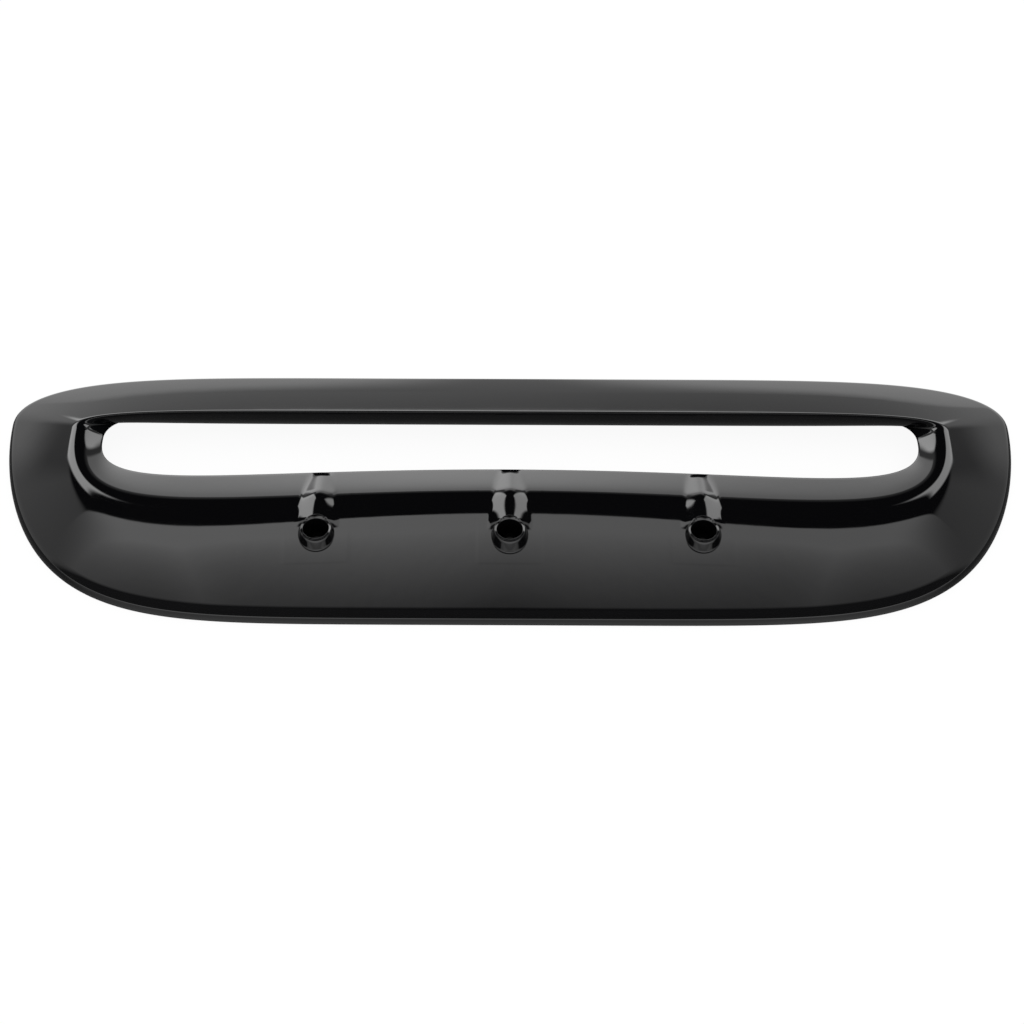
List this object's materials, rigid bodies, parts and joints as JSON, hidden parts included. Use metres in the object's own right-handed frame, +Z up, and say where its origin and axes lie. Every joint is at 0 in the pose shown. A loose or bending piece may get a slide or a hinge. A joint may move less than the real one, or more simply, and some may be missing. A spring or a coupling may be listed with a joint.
{
  "type": "bonnet scoop",
  "caption": "Gloss black bonnet scoop trim: a wide moulded ring with a sloping ramp, a rounded lip, an air throat and screw sockets under small cowls.",
  "frame": {"origin": "centre of the bounding box, on the plane that the rim rests on", "axes": "+X across the bonnet, +Y towards the windscreen, +Z up from the bonnet's skin; the ramp and the screw sockets are towards -Y"},
  "size_m": [0.562, 0.174, 0.0277],
  "materials": {
    "scoop": "gloss, self-coloured black"
  },
  "bodies": {
    "root": {"scoop": "scoop"}
  },
  "joints": []
}
